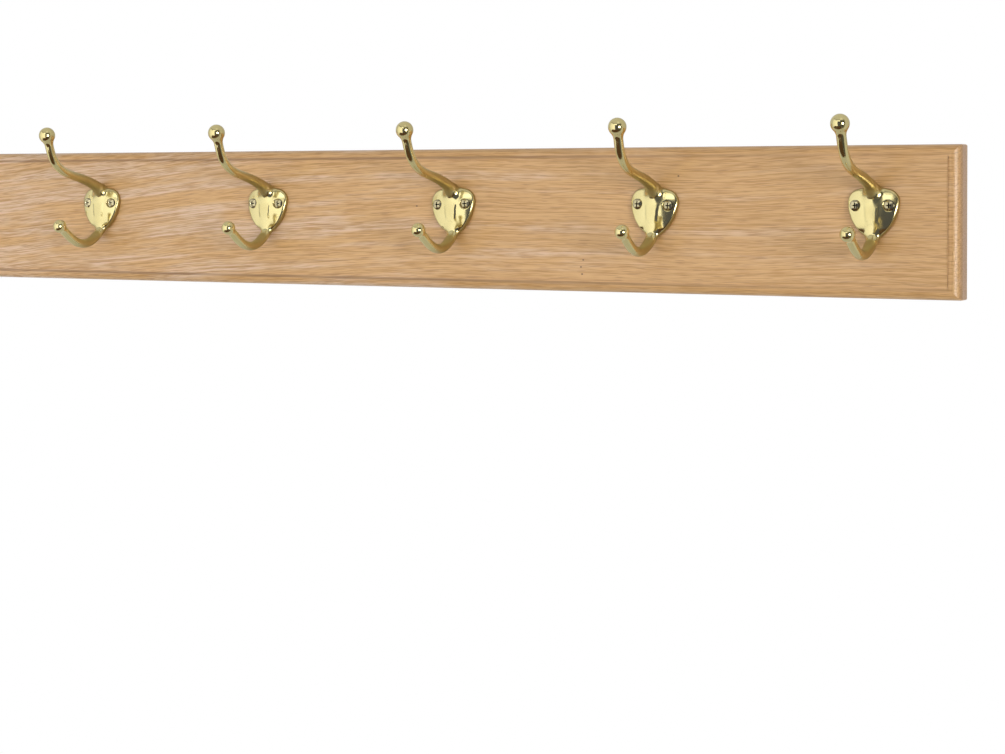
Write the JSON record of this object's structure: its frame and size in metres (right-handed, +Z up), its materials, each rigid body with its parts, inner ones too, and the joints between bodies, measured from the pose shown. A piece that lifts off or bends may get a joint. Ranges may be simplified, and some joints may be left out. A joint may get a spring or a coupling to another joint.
{
  "type": "wall hook rack",
  "caption": "Long wall board with a moulded edge and a row of one-piece double coat hooks, hung by keyhole plates in its back.",
  "frame": {"origin": "middle of the board's back, on the wall", "axes": "+X along the board to the right as seen from the front, +Y into the wall, +Z up"},
  "size_m": [1.026, 0.1019, 0.1349],
  "materials": {
    "oak": "satin clear coat",
    "brass": "polished and lacquered",
    "screw_steel": "nickel plated",
    "zinc_steel": "zinc plated"
  },
  "bodies": {
    "root": {"board": "oak", "hook_1": "brass", "hook_2": "brass", "hook_3": "brass", "hook_4": "brass", "hook_5": "brass", "hook_6": "brass", "hook_1_screw_left": "screw_steel", "hook_1_screw_right": "screw_steel", "hook_2_screw_left": "screw_steel", "hook_2_screw_right": "screw_steel", "hook_3_screw_left": "screw_steel", "hook_3_screw_right": "screw_steel", "hook_4_screw_left": "screw_steel", "hook_4_screw_right": "screw_steel", "hook_5_screw_left": "screw_steel", "hook_5_screw_right": "screw_steel", "hook_6_screw_left": "screw_steel", "hook_6_screw_right": "screw_steel", "hanger_1": "zinc_steel", "hanger_2": "zinc_steel", "hanger_1_screw_lower": "zinc_steel", "hanger_1_screw_upper": "zinc_steel", "hanger_2_screw_lower": "zinc_steel", "hanger_2_screw_upper": "zinc_steel"}
  },
  "joints": []
}
